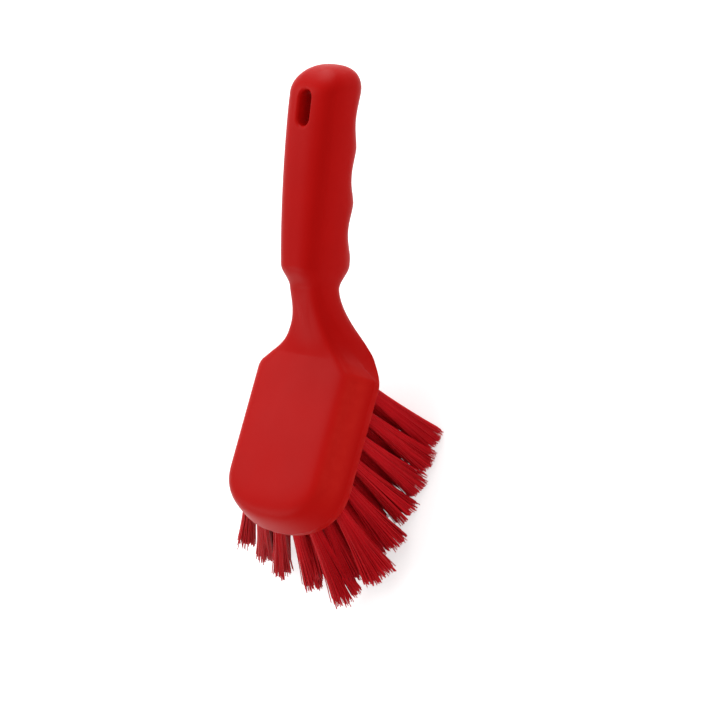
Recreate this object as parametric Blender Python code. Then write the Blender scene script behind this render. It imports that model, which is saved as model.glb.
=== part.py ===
"""Short-handled scrubbing brush: a one-piece moulded stock with stapled bristle tufts.

Metres, +Z up. The handle runs toward +X, the back of the head faces +Z and the trimmed
bristle tips stand on the plane z = 0, with the origin under the middle of the brush.
The stock is drawn from its toe, with the tuft face at height zero, and one empty that
carries every piece then sets the whole brush on its tips.
"""

import math
import random

import bmesh
import bpy
from mathutils import Matrix, Vector

# Stock: places along the brush, measured from the toe
STOCK_LENGTH = 0.2662
TOE_RUN = 0.0320
SHOULDER_START = 0.0925
HEEL_EDGE = 0.1092
HEEL_FOLD = 0.1030
HEEL_FOLD_POWER = 1.7
SIDE_FOLD = 0.0970
SIDE_FOLD_POWER = 1.2
NECK_PLACE = 0.1415
GRIP_PLACE = 0.1546

# Stock: the head
HEAD_WIDTH = 0.0925
HEAD_THICKNESS = 0.0209
RIM_HEIGHT = 0.0048
TOP_EDGE_RUN = 0.0260
TOP_EDGE_CLIMB = 3.8
SHOULDER_MID_WIDTH = 0.0616
TAIL_WIDTH = 0.0392
TOE_POWER = 2.2
TOP_EDGE_POWER = 3.0

# Stock: the neck and the handle
NECK_WIDTH = 0.0288
NECK_DEPTH = 0.0230
NECK_HEIGHT = 0.0274
GRIP_WIDTH = 0.0345
GRIP_DEPTH = 0.0370
BUTT_WIDTH = 0.0416
BUTT_DEPTH = 0.0327
BUTT_HEIGHT = 0.0630
BUTT_ROUNDING = 0.0156
ARCH_POWER = 1.22
HANDLE_POWER = 2.9
FLANK_ANGLES = (math.radians(-42), math.radians(26))
SHOULDER_ANGLE = math.radians(62)
BUTT_POWER = 2.13
BUTT_RUN = 0.0400
BUTT_TILT = math.radians(17)

# Stock: finger scallops on the underside of the handle
SCALLOP_COUNT = 3
SCALLOP_DEPTH = 0.0037
SCALLOP_PITCH = 0.0311
SCALLOP_FIRST = 0.1580
SCALLOP_POWER = 1.5

# Stock: the hanging slot, moulded through the handle
SLOT_LENGTH = 0.0208
SLOT_WIDTH = 0.0098
SLOT_TO_BUTT = 0.0243
SLOT_FILLET = 0.0014

# Tufts: their grid on the tuft face
TUFT_ROWS = 7
TUFT_COLUMNS = 6
TOE_ROW_COLUMNS = 4
FIRST_ROW = 0.0090
SIDE_MARGIN = 0.01025
ROW_PITCH = (SHOULDER_START - FIRST_ROW) / (TUFT_ROWS - 1)
COLUMN_PITCH = (HEAD_WIDTH - 2 * SIDE_MARGIN) / (TUFT_COLUMNS - 1)

# Tufts: how they are set and trimmed
ROOT_DIAMETER = 0.0064
ROOT_DEPTH = 0.0085
TRIM_DEPTH = 0.0455
STRAND_LENGTH = 0.0510
RAGGEDNESS = 0.0030
HEEL_LEAN = math.radians(18)
TOE_LEAN = math.radians(40)
SIDE_SPLAY = math.radians(17)
FAN_ALONG_SHARE = 0.96
FAN_ACROSS_SHARE = 1.289
FLARE_SHARE = 1.9
STRAND_LINE_SHARES = (-1.0, -0.44, -0.28, 0.28, 0.44, 1.0)
RAGGED_SEED = 7

# Staples: one in the closed end of each hole
STAPLE_HEIGHT = 0.0012

# Shared clearance between pieces, and how far a cutter runs past what it cuts
CLEARANCE = 0.0003
CUT_OVERRUN = 0.0060

# Mesh fineness
SIDE_STEPS = (5, 3, 6, 4)
TOE_STEPS = 9
HEAD_STEP = 0.0130
SHOULDER_STEP = 0.0032
HANDLE_STEP = 0.0052
BUTT_STEPS = 6
HOLE_SIDES = 12
SLOT_SIDES = 24
FILLET_STEPS = 4
SLOPE_STEP = 0.0005
SHARP_ANGLE = math.radians(40)


def clear_scene():
    """Empty the scene that the script starts in."""
    for thing in list(bpy.data.objects):
        bpy.data.objects.remove(thing, do_unlink=True)


def new_collection(name):
    """A collection linked to the scene."""
    made = bpy.data.collections.new(name)
    bpy.context.scene.collection.children.link(made)
    return made


def plastic(name, colour, roughness):
    """A plain Principled material."""
    material = bpy.data.materials.new(name)
    material.use_nodes = True
    shader = material.node_tree.nodes["Principled BSDF"]
    shader.inputs["Base Color"].default_value = (*colour, 1.0)
    shader.inputs["Roughness"].default_value = roughness
    shader.inputs["Metallic"].default_value = 0.0
    return material


def add_object(name, bm, collection, parent=None, material=None):
    """Turn a bmesh into a named object of the collection."""
    mesh = bpy.data.meshes.new(name)
    bm.to_mesh(mesh)
    bm.free()
    thing = bpy.data.objects.new(name, mesh)
    collection.objects.link(thing)
    thing.parent = parent
    if material:
        mesh.materials.append(material)
    return thing


def smooth_curve(stations, place):
    """The value at a place on a monotone cubic through (place, value) stations, level at both ends."""
    places = [station[0] for station in stations]
    values = [station[1] for station in stations]
    if place <= places[0]:
        return values[0]
    if place >= places[-1]:
        return values[-1]
    gaps = [after - before for before, after in zip(places, places[1:])]
    slopes = [(after - before) / gap for before, after, gap in zip(values, values[1:], gaps)]
    tangents = [0.0]
    for slope_in, slope_out, gap_in, gap_out in zip(slopes, slopes[1:], gaps, gaps[1:]):
        if slope_in * slope_out <= 0:
            tangents.append(0.0)
            continue
        weight_in = 2 * gap_out + gap_in
        weight_out = gap_out + 2 * gap_in
        tangents.append((weight_in + weight_out) / (weight_in / slope_in + weight_out / slope_out))
    tangents.append(0.0)
    span = max(index for index, start in enumerate(places[:-1]) if start <= place)
    t = (place - places[span]) / gaps[span]
    return (
        values[span] * (2 * t**3 - 3 * t**2 + 1)
        + tangents[span] * gaps[span] * (t**3 - 2 * t**2 + t)
        + values[span + 1] * (3 * t**2 - 2 * t**3)
        + tangents[span + 1] * gaps[span] * (t**3 - t**2)
    )


def blend(start, end, place):
    """A smooth step from 0 at start to 1 at end."""
    t = min(max((place - start) / (end - start), 0.0), 1.0)
    return t * t * (3 - 2 * t)


def quarter(share, power):
    """Height of a superelliptic quarter round, from 0 at share 0 to 1 at share 1."""
    return max(1 - (1 - share) ** power, 0.0) ** (1 / power)


def soft_step(climb):
    """Height of a straight climb that rounds off below one."""
    return climb / (1 + climb**TOP_EDGE_POWER) ** (1 / TOP_EDGE_POWER)


def fold(start, power, x):
    """A share that leaves 0 in a crease at start and comes smoothly to 1 at the neck."""
    return 1 - (1 - min(max((x - start) / (NECK_PLACE - start), 0.0), 1.0)) ** power


def head_half_width(x):
    """Half the head's width: a rounded toe, straight sides and shoulders that run into the neck."""
    if x < TOE_RUN:
        return HEAD_WIDTH / 2 * quarter(x / TOE_RUN, TOE_POWER)
    shoulder_middle = (SHOULDER_START + NECK_PLACE) / 2
    stations = (
        (SHOULDER_START, HEAD_WIDTH / 2),
        (shoulder_middle, SHOULDER_MID_WIDTH / 2),
        (NECK_PLACE, TAIL_WIDTH / 2),
    )
    return smooth_curve(stations, x)


def inset_from_rim(x, y):
    """How far a point of the head's plan lies in from its outline."""
    if x < TOE_RUN:
        along = 1 - x / TOE_RUN
        across = abs(y) / (HEAD_WIDTH / 2)
        norm = (along**TOE_POWER + across**TOE_POWER) ** (1 / TOE_POWER)
        reach = math.hypot(TOE_RUN - x, y)
        return reach / norm - reach if norm else TOE_RUN
    fall = head_half_width(x - SLOPE_STEP) - head_half_width(x + SLOPE_STEP)
    return (head_half_width(x) - abs(y)) / math.hypot(1, fall / (2 * SLOPE_STEP))


def head_top(x, y):
    """Height of the head's back: flat, and rounded off into a slope that ends in a crisp edge at the rim."""
    share = min(max(inset_from_rim(x, y) / TOP_EDGE_RUN, 0.0), 1.0)
    climb = soft_step(share * TOP_EDGE_CLIMB) / soft_step(TOP_EDGE_CLIMB)
    return RIM_HEIGHT + (HEAD_THICKNESS - RIM_HEIGHT) * climb


def head_point(x, step):
    """Point (y, z) of the head's section, from the middle of the tuft face round to the back."""
    flat, wall, edge, back = SIDE_STEPS
    half = head_half_width(x)
    run = min(TOP_EDGE_RUN, half)
    if step <= flat:
        return half * step / flat, 0.0
    if step <= flat + wall:
        return half, RIM_HEIGHT * (step - flat) / wall
    if step <= flat + wall + edge:
        turn = math.pi / 2 * (step - flat - wall) / edge
        y = half - run * (1 - math.cos(turn))
    else:
        y = (half - run) * (flat + wall + edge + back - step) / back
    return y, head_top(x, y)


def spine(x):
    """Height of the handle's arched centre line, and the tilt of its sections, which fan out in the butt."""
    span = STOCK_LENGTH - NECK_PLACE
    rise = BUTT_HEIGHT - NECK_HEIGHT
    left = min((STOCK_LENGTH - x) / span, 1.0)
    slope = ARCH_POWER * rise / span * left ** (ARCH_POWER - 1)
    height = NECK_HEIGHT + rise * (1 - left**ARCH_POWER) + slope * min(x - NECK_PLACE, 0.0)
    return height, math.atan(slope) + BUTT_TILT * blend(STOCK_LENGTH - BUTT_RUN, STOCK_LENGTH, x)


def scallop(x):
    """Depth of the finger scallops at a place along the handle: wide hollows between narrow crests."""
    turn = (x - SCALLOP_FIRST) / SCALLOP_PITCH
    if 0 <= turn <= SCALLOP_COUNT:
        return SCALLOP_DEPTH * abs(math.sin(math.pi * turn)) ** SCALLOP_POWER
    return 0.0


def section_angle(step):
    """Direction of a point of the handle's section: each run of the head's section keeps its own arc."""
    angles = (-math.pi / 2, *FLANK_ANGLES, SHOULDER_ANGLE, math.pi / 2)
    for run, start, end in zip(SIDE_STEPS, angles, angles[1:]):
        if step <= run:
            return start + (end - start) * step / run
        step -= run
    return angles[-1]


def handle_point(x, step):
    """Offset (y, z) from the centre line to the handle's section, from its underside round to its back."""
    butt = STOCK_LENGTH - BUTT_ROUNDING
    widths = ((NECK_PLACE, NECK_WIDTH), (GRIP_PLACE, GRIP_WIDTH), (butt, BUTT_WIDTH))
    depths = ((NECK_PLACE, NECK_DEPTH), (GRIP_PLACE, GRIP_DEPTH), (butt, BUTT_DEPTH))
    half_width = smooth_curve(widths, x) / 2
    half_depth = smooth_curve(depths, x) / 2
    turn = section_angle(step)
    across = math.cos(turn)
    up = math.sin(turn)
    norm = abs(across / half_width) ** HANDLE_POWER + abs(up / half_depth) ** HANDLE_POWER
    reach = norm ** (-1 / HANDLE_POWER)
    lift = scallop(x) * blend(0.0, 1.0, -up)
    end = quarter(min((STOCK_LENGTH - x) / BUTT_ROUNDING, 1.0), BUTT_POWER)
    return reach * across * end, (reach * up + lift) * end


def stock_ring(x):
    """One closed ring of the stock, where the head's section turns into the handle's."""
    flat, wall = SIDE_STEPS[:2]
    steps = sum(SIDE_STEPS)
    centre, tilt = spine(x)
    face_share = blend(HEEL_EDGE, NECK_PLACE, x)
    edge_share = fold(SIDE_FOLD, SIDE_FOLD_POWER, x)
    back_share = fold(HEEL_FOLD, HEEL_FOLD_POWER, x)
    half_ring = []
    for step in range(steps + 1):
        up_the_wall = min(max((step - flat) / wall, 0.0), 1.0)
        over_the_back = max((step - flat - wall) / (steps - flat - wall), 0.0)
        share = face_share + (edge_share - face_share) * up_the_wall
        share += (back_share - edge_share) * over_the_back
        head = Vector((x, *head_point(x, step)))
        y, z = handle_point(x, step)
        handle = Vector((x - z * math.sin(tilt) * share, y, centre + z * math.cos(tilt)))
        half_ring.append(head.lerp(handle, share))
    mirrored = [Vector((point.x, -point.y, point.z)) for point in half_ring[-2:0:-1]]
    return half_ring + mirrored


def spread(start, end, step):
    """Places after start up to end, in even steps close to the one given."""
    count = max(round((end - start) / step), 1)
    return [start + (end - start) * index / count for index in range(1, count + 1)]


def stock_places():
    """Where the stock's rings stand along the brush."""
    places = []
    for index in range(1, TOE_STEPS + 1):
        wide = math.sin(math.pi / 2 * index / (TOE_STEPS + 1))
        places.append(TOE_RUN * (1 - (1 - wide**TOE_POWER) ** (1 / TOE_POWER)))
    butt = STOCK_LENGTH - BUTT_ROUNDING
    places.append(TOE_RUN)
    places += spread(TOE_RUN, SHOULDER_START, HEAD_STEP)
    places += spread(SHOULDER_START, NECK_PLACE, SHOULDER_STEP)
    places += spread(NECK_PLACE, butt, HANDLE_STEP)
    for index in range(1, BUTT_STEPS + 1):
        places.append(butt + BUTT_ROUNDING * math.sin(math.pi / 2 * index / (BUTT_STEPS + 1 / 2)))
    return places


def loft(rings):
    """A closed bmesh skinned over rings of equally many points, with a cap on each end."""
    bm = bmesh.new()
    loops = [[bm.verts.new(point) for point in ring] for ring in rings]
    for near, far in zip(loops, loops[1:]):
        for index, vert in enumerate(near):
            following = (index + 1) % len(near)
            bm.faces.new((vert, near[following], far[following], far[index]))
    bm.faces.new(loops[0])
    bm.faces.new(loops[-1])
    bmesh.ops.recalc_face_normals(bm, faces=bm.faces)
    return bm


def slot_cutter(collection):
    """The hanging slot's cutter: a round-ended bar through the handle, flared at both mouths."""
    place = STOCK_LENGTH - SLOT_TO_BUTT
    centre, tilt = spine(place)
    straight = (SLOT_LENGTH - SLOT_WIDTH) / 2
    half_depth = handle_point(place, sum(SIDE_STEPS))[1]
    levels = [(half_depth + CUT_OVERRUN, SLOT_FILLET)]
    for index in range(FILLET_STEPS + 1):
        turn = math.pi / 2 * index / FILLET_STEPS
        flare = SLOT_FILLET * (1 - math.sin(turn))
        levels.append((half_depth - SLOT_FILLET * (1 - math.cos(turn)), flare))
    levels += [(-height, flare) for height, flare in reversed(levels)]
    rings = []
    for height, flare in levels:
        ring = []
        for index in range(SLOT_SIDES):
            turn = 2 * math.pi * (index + 1 / 2) / SLOT_SIDES
            x = (SLOT_WIDTH / 2 + flare) * math.cos(turn)
            x += math.copysign(straight, x)
            ring.append(Vector((x, (SLOT_WIDTH / 2 + flare) * math.sin(turn), height)))
        rings.append(ring)
    cutter = add_object("slot_cutter", loft(rings), collection)
    cutter.location = (place, 0.0, centre)
    cutter.rotation_euler = (0.0, -tilt, 0.0)
    return cutter


def tuft_places():
    """Row, column from the centre line, and root position of each tuft on the +Y half."""
    places = []
    for row in range(TUFT_ROWS):
        columns = TUFT_COLUMNS if row else TOE_ROW_COLUMNS
        for column in range(columns // 2):
            x = FIRST_ROW + row * ROW_PITCH
            y = (column + 1 / 2) * COLUMN_PITCH
            places.append((row, column, Vector((x, y, 0.0))))
    return places


def tuft_direction(row, column):
    """Unit vector down a tuft: it leans toward the toe, most at the toe, and out to its side."""
    lean = HEEL_LEAN + (TOE_LEAN - HEEL_LEAN) * (1 - row / (TUFT_ROWS - 1))
    splay = SIDE_SPLAY * (2 * column + 1) / (TUFT_COLUMNS - 1)
    return Vector((-math.tan(lean), math.tan(splay), -1.0)).normalized()


def tuft_frame(direction):
    """Two unit vectors square to a tuft, the first one across the brush's length."""
    along = Vector((1.0, 0.0, 0.0))
    first = (along - along.dot(direction) * direction).normalized()
    return first, direction.cross(first)


def hole_cutter(collection):
    """One cutter that holds every blind tuft hole."""
    hole_depth = ROOT_DEPTH + STAPLE_HEIGHT + CLEARANCE
    radius = (ROOT_DIAMETER / 2 + CLEARANCE) / math.cos(math.pi / HOLE_SIDES)
    bm = bmesh.new()
    for row, column, root in tuft_places():
        for side in (1, -1):
            direction = tuft_direction(row, column)
            direction.y *= side
            mouth = Vector((root.x, root.y * side, 0.0))
            middle = mouth + direction * (CUT_OVERRUN - hole_depth) / 2
            turn = direction.to_track_quat("Z", "X").to_matrix().to_4x4()
            bmesh.ops.create_cone(
                bm,
                cap_ends=True,
                segments=HOLE_SIDES,
                radius1=radius,
                radius2=radius,
                depth=hole_depth + CUT_OVERRUN,
                matrix=Matrix.Translation(middle) @ turn,
            )
    return add_object("hole_cutter", bm, collection)


def cut(target, cutter):
    """Subtract a cutter and keep it out of the render."""
    cutter.hide_render = True
    cutter.display_type = "WIRE"
    modifier = target.modifiers.new(cutter.name, "BOOLEAN")
    modifier.object = cutter
    modifier.operation = "DIFFERENCE"
    modifier.solver = "EXACT"


def slide(point, direction, height):
    """The point moved along a direction to a height."""
    return point + direction * ((height - point.z) / direction.z)


def tuft_mesh(direction, ragged):
    """A tuft about its root: a plug for the hole, a fan of strands, and the staple on its inner end."""
    first, second = tuft_frame(direction)
    radius = ROOT_DIAMETER / 2
    fan_first = FAN_ALONG_SHARE * ROW_PITCH / ROOT_DIAMETER
    fan_second = FAN_ACROSS_SHARE * COLUMN_PITCH / ROOT_DIAMETER
    lines = len(STRAND_LINE_SHARES) - 1
    bm = bmesh.new()
    bmesh.ops.create_grid(bm, x_segments=lines, y_segments=lines, size=1.0)
    for vert in bm.verts:
        a, b = (STRAND_LINE_SHARES[round((value + 1) / 2 * lines)] for value in vert.co[:2])
        round_a = a * math.sqrt(1 - b * b / 2)
        round_b = b * math.sqrt(1 - a * a / 2)
        vert.co = slide((first * round_a + second * round_b) * radius, direction, 0.0)
    bm.faces.ensure_lookup_table()
    cells = [bm.faces[row * lines + column] for row in range(0, lines, 2) for column in range(0, lines, 2)]
    rim = [edge for edge in bm.edges if edge.is_boundary]

    # Strands
    for face in bmesh.ops.extrude_discrete_faces(bm, faces=cells)["faces"]:
        middle = face.calc_center_median()
        base = Vector((middle.dot(first), middle.dot(second)))
        reach = (STRAND_LENGTH - RAGGEDNESS * ragged.random()) * -direction.z
        for vert in face.verts:
            here = Vector((vert.co.dot(first), vert.co.dot(second)))
            fan = Vector((base.x * fan_first, base.y * fan_second))
            there = fan + (here - base) * FLARE_SHARE
            tip = first * there.x + second * there.y + direction * STRAND_LENGTH
            vert.co = slide(vert.co, tip - vert.co, -min(reach, TRIM_DEPTH))

    # Plug
    wall = bmesh.ops.extrude_edge_only(bm, edges=rim)["geom"]
    for vert in (item for item in wall if isinstance(item, bmesh.types.BMVert)):
        vert.co = first * vert.co.dot(first) + second * vert.co.dot(second) - direction * ROOT_DEPTH
    mouth = [item for item in wall if isinstance(item, bmesh.types.BMEdge) and item.is_boundary]
    end = bmesh.ops.contextual_create(bm, geom=mouth)["faces"][0]

    # Staple: the strip across the middle of the plug's end, raised
    corners = sorted(end.verts, key=lambda vert: abs(vert.co.dot(first)))[:4]
    for side in (1, -1):
        chord = [vert for vert in corners if vert.co.dot(first) * side > 0]
        bmesh.ops.connect_verts(bm, verts=chord)
    strip = next(face for face in corners[0].link_faces if set(face.verts) == set(corners))
    bar = bmesh.ops.extrude_discrete_faces(bm, faces=[strip])["faces"][0]
    bmesh.ops.translate(bm, verts=list(bar.verts), vec=-direction * STAPLE_HEIGHT)
    bmesh.ops.recalc_face_normals(bm, faces=bm.faces)
    return bm


def mirror_mesh(bm):
    """Turn a mesh into its mirror image across the brush's middle plane."""
    for vert in bm.verts:
        vert.co.y = -vert.co.y
    bmesh.ops.reverse_faces(bm, faces=bm.faces)
    return bm


def add_tufts(collection, parent, material):
    """Every tuft as its own object, named by its row from the toe, its side and its column."""
    ragged = random.Random(RAGGED_SEED)
    tufts = []
    for row, column, root in tuft_places():
        left = tuft_mesh(tuft_direction(row, column), ragged)
        right = mirror_mesh(left.copy())
        for side, bm, y in (("left", left, root.y), ("right", right, -root.y)):
            name = f"tuft_row_{row + 1}_{side}_{column + 1}"
            tuft = add_object(name, bm, collection, parent, material)
            tuft.location = (root.x, y, 0.0)
            tufts.append(tuft)
    return tufts


def stand_on_tips(root, pieces):
    """Move the carrying empty so that the origin lies under the middle of the brush."""
    corners = [piece.location + vert.co for piece in pieces for vert in piece.data.vertices]
    lows = [min(corner[axis] for corner in corners) for axis in range(3)]
    highs = [max(corner[axis] for corner in corners) for axis in range(3)]
    root.location = (-(lows[0] + highs[0]) / 2, -(lows[1] + highs[1]) / 2, -lows[2])


def main():
    """Build the brush."""
    clear_scene()
    parts = new_collection("short_handled_brush")
    cutters = new_collection("cutters")
    cutters.hide_render = True
    root = bpy.data.objects.new("brush_root", None)
    parts.objects.link(root)
    stock_red = plastic("moulded_red_polypropylene", (0.48, 0.018, 0.014), 0.42)
    bristle_red = plastic("crimson_bristle", (0.30, 0.010, 0.016), 0.50)

    rings = [stock_ring(x) for x in stock_places()]
    stock = add_object("stock", loft(rings), parts, root, stock_red)
    for cutter in (slot_cutter(cutters), hole_cutter(cutters)):
        cutter.parent = root
        cut(stock, cutter)
    stock.data.shade_smooth()
    stock.data.set_sharp_from_angle(angle=SHARP_ANGLE)
    tufts = add_tufts(parts, root, bristle_red)
    stand_on_tips(root, [stock, *tufts])


main()
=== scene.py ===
"""Short-handled scrubbing brush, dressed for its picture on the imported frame.

The moulded stock is lofted from its own formulas, the bristle tufts are grown by one Geometry
Nodes tree, and both stand where the frame's nodes stand, in metres.
"""

import logging
import math
from dataclasses import dataclass
from enum import Enum
from functools import cache
from typing import Any, ClassVar, Iterable, NamedTuple, Sequence

import bmesh
import bpy
import numpy as np
from bmesh.types import BMesh
from bpy.types import Material, Mesh, Node, NodeSocket, NodeTree, Object
from mathutils import Matrix, Vector
from mathutils.bvhtree import BVHTree


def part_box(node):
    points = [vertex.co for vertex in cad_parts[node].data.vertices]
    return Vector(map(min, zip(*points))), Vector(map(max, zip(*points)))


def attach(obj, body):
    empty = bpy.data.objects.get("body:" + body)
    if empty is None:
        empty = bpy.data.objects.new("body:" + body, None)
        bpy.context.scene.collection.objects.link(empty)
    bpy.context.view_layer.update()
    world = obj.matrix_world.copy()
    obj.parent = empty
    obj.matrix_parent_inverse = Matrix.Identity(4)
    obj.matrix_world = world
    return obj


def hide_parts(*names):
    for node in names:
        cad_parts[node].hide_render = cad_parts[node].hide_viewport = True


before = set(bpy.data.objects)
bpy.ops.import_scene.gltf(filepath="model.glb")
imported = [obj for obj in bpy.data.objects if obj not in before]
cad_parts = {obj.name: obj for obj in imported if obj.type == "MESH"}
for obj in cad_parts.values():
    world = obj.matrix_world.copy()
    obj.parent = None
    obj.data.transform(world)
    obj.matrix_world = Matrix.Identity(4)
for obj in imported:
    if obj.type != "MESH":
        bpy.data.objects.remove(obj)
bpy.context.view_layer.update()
LOG = logging.getLogger("short_handled_brush")
BODY = "root"
WHITE = (1.0, 1.0, 1.0, 1.0)

Pair = tuple[float, float]
Triple = tuple[float, float, float]
Colour = tuple[float, float, float, float]
Array = np.ndarray
Inputs = dict[str | int, Any]


class Side(Enum):
    """The two sides of the brush, as the sign of Y."""

    LEFT = 1
    RIGHT = -1


class Slot(Enum):
    """The record's material slots."""

    STOCK = "stock_red"
    BRISTLE = "bristle_crimson"


# Node trees


class Wire:
    """An output socket that arithmetic makes further nodes on, for numbers and for vectors."""

    def __init__(self, graph: "Graph", socket: NodeSocket) -> None:
        """Wrap a socket of a graph."""
        self.graph, self.socket = graph, socket
        self.is_vector = socket.type in ("VECTOR", "RGBA")

    def math(self, operation: str, *others: Any) -> "Wire":
        """The result of a Math or Vector Math node, on this and then the others."""
        return self.graph.math(self.is_vector, operation, self, *others)

    def __add__(self, other: Any) -> "Wire":
        """The sum."""
        return self.math("ADD", other)

    def __sub__(self, other: Any) -> "Wire":
        """The difference."""
        return self.math("SUBTRACT", other)

    def __rsub__(self, other: Any) -> "Wire":
        """The difference from a constant."""
        return self.graph.math(self.is_vector, "SUBTRACT", other, self)

    def __truediv__(self, other: Any) -> "Wire":
        """The quotient."""
        return self.math("DIVIDE", other)

    def __mul__(self, other: Any) -> "Wire":
        """The product of two numbers, or a vector scaled by a number."""
        if not self.is_vector:
            return self.math("MULTIPLY", other)
        return self.graph.out("ShaderNodeVectorMath", {0: self, "Scale": other}, operation="SCALE")


class Graph:
    """A node tree under construction, with short calls for its nodes and links."""

    def __init__(self, tree: NodeTree) -> None:
        """Wrap the tree that gets the nodes."""
        self.tree = tree

    def feed(self, node: Node, inputs: Inputs) -> None:
        """Link wires into a node's inputs, or set the inputs to constants.

        Args:
            node: the node that is fed.
            inputs: values or wires, by input name or index.
        """
        for key, value in inputs.items():
            if isinstance(value, Wire):
                self.tree.links.new(value.socket, node.inputs[key])
            else:
                node.inputs[key].default_value = value

    def node(self, kind: str, inputs: Inputs | None = None, **settings: Any) -> Node:
        """Add a node.

        Args:
            kind: the node's type name.
            inputs: values or wires, by input name or index.
            settings: the node's own properties.

        Returns:
            The new node.
        """
        made = self.tree.nodes.new(kind)
        for name, value in settings.items():
            setattr(made, name, value)
        self.feed(made, inputs or {})
        return made

    def outs(self, kind: str, inputs: Inputs | None = None, **settings: Any) -> dict[str, Wire]:
        """The outputs of a new node, by name."""
        made = self.node(kind, inputs, **settings)
        return {socket.name: Wire(self, socket) for socket in made.outputs}

    def out(
        self, kind: str, inputs: Inputs | None = None, output: int | str = 0, **settings: Any
    ) -> Wire:
        """One output of a new node, the first if no other is named."""
        return Wire(self, self.node(kind, inputs, **settings).outputs[output])

    def math(self, vectors: bool, operation: str, *values: Any) -> Wire:
        """The result of a Math node, or of a Vector Math node, on its inputs in order."""
        kind = "ShaderNodeVectorMath" if vectors else "ShaderNodeMath"
        return self.out(kind, dict(enumerate(values)), operation=operation)

    def noise(
        self, place: Wire, scale: Any, detail: float, distortion: float = 0.0
    ) -> dict[str, Wire]:
        """The outputs of a Noise Texture node, by name."""
        inputs = {"Vector": place, "Scale": scale, "Detail": detail, "Distortion": distortion}
        return self.outs("ShaderNodeTexNoise", inputs)

    def stored(self, name: str) -> Wire:
        """A number that the mesh stores, as a shader reads it."""
        return self.out("ShaderNodeAttribute", output="Fac", attribute_name=name)

    def ramp(self, value: Wire, span: Pair, result: Pair = (0.0, 1.0)) -> Wire:
        """A smooth step, over a span of the value, from one number to another."""
        inputs = dict(enumerate((value, *span, *result)))
        return self.out("ShaderNodeMapRange", inputs, interpolation_type="SMOOTHSTEP")

    def tint(self, factor: Wire, first: Any, second: Any) -> Wire:
        """A colour mixed from two, by the share of the second."""
        return self.out("ShaderNodeMix", {0: factor, 6: first, 7: second}, 2, data_type="RGBA")


class FieldGraph(Graph):
    """A geometry tree under construction, with calls for attributes and random draws."""

    def geometry(self, kind: str, inputs: Inputs | None = None, **settings: Any) -> Wire:
        """The first output of a new geometry node, named without its prefix."""
        return self.out("GeometryNode" + kind, inputs, **settings)

    def named(self, name: str, kind: str = "FLOAT") -> Wire:
        """A named attribute as a field."""
        return self.geometry("InputNamedAttribute", {"Name": name}, data_type=kind)

    def store(self, geometry: Wire, name: str, value: Wire, kind: str = "FLOAT") -> Wire:
        """Geometry with a field stored on its points as a named attribute."""
        inputs = {"Geometry": geometry, "Name": name, "Value": value}
        return self.geometry("StoreNamedAttribute", inputs, data_type=kind, domain="POINT")

    def chance(self, index: Wire, seed: Wire, offset: int) -> Wire:
        """A random number from 0 to 1 for each point, set apart from others by its offset."""
        inputs = {"ID": index, "Seed": seed + offset}
        return self.out("FunctionNodeRandomValue", inputs, 1, data_type="FLOAT")

    def even(self, offset: Wire) -> Wire:
        """A point's offset in a round hole, from -1 to 1, spread evenly over a blade's width."""
        area = offset * (1.0 - offset * offset).math("SQRT") + offset.math("ARCSINE")
        return area * (2 / math.pi)


def new_group(name: str, kind: str, inputs: dict[str, str], outputs: dict[str, str]) -> NodeTree:
    """An empty node group with its sockets.

    Args:
        name: the group's name.
        kind: its tree's type name.
        inputs: the kind of each input, by name, such as Float.
        outputs: the kind of each output, by name.

    Returns:
        The group.
    """
    tree = bpy.data.node_groups.new(name, kind)
    for in_out, sockets in (("INPUT", inputs), ("OUTPUT", outputs)):
        for socket, type_name in sockets.items():
            type_name = "NodeSocket" + type_name
            tree.interface.new_socket(name=socket, in_out=in_out, socket_type=type_name)
    return tree


def new_material(name: str) -> tuple[Material, Graph, Node]:
    """A material, the graph of its nodes, and its Principled shader."""
    material = bpy.data.materials.new(name)
    material.use_nodes = True
    return material, Graph(material.node_tree), material.node_tree.nodes["Principled BSDF"]


# Meshes and curves


def new_object(name: str, data: bpy.types.ID) -> Object:
    """An object of the scene, at the origin, that shows a mesh, a light or a camera."""
    thing = bpy.data.objects.new(name, data)
    bpy.context.scene.collection.objects.link(thing)
    return thing


def surface_object(name: str, surface: BMesh) -> Object:
    """An object of the scene that takes over a surface, which is freed.

    Args:
        name: the object's name.
        surface: its surface.

    Returns:
        The object.
    """
    mesh = bpy.data.meshes.new(name)
    surface.to_mesh(mesh)
    surface.free()
    return new_object(name, mesh)


def card(name: str, reach: float, height: float) -> Object:
    """A square card that lies flat.

    Args:
        name: the object's name.
        reach: how far it goes from its middle along X and Y.
        height: where it lies.

    Returns:
        The object.
    """
    signs = ((-1, -1), (1, -1), (1, 1), (-1, 1))
    mesh = bpy.data.meshes.new(name)
    mesh.from_pydata([(x * reach, y * reach, height) for x, y in signs], [], [(0, 1, 2, 3)])
    return new_object(name, mesh)


def settle(thing: Object) -> None:
    """Replace an object's mesh and modifiers by the mesh that they give.

    Args:
        thing: the object, which keeps its name.
    """
    graph = bpy.context.evaluated_depsgraph_get()
    graph.update()
    mesh = bpy.data.meshes.new_from_object(thing.evaluated_get(graph), depsgraph=graph)
    mesh.name = thing.name
    thing.modifiers.clear()
    thing.data = mesh


def store_values(mesh: Mesh, name: str, values: Any) -> None:
    """Store one number a point on a mesh."""
    mesh.attributes.new(name, "FLOAT", "POINT").data.foreach_set("value", values)


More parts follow.
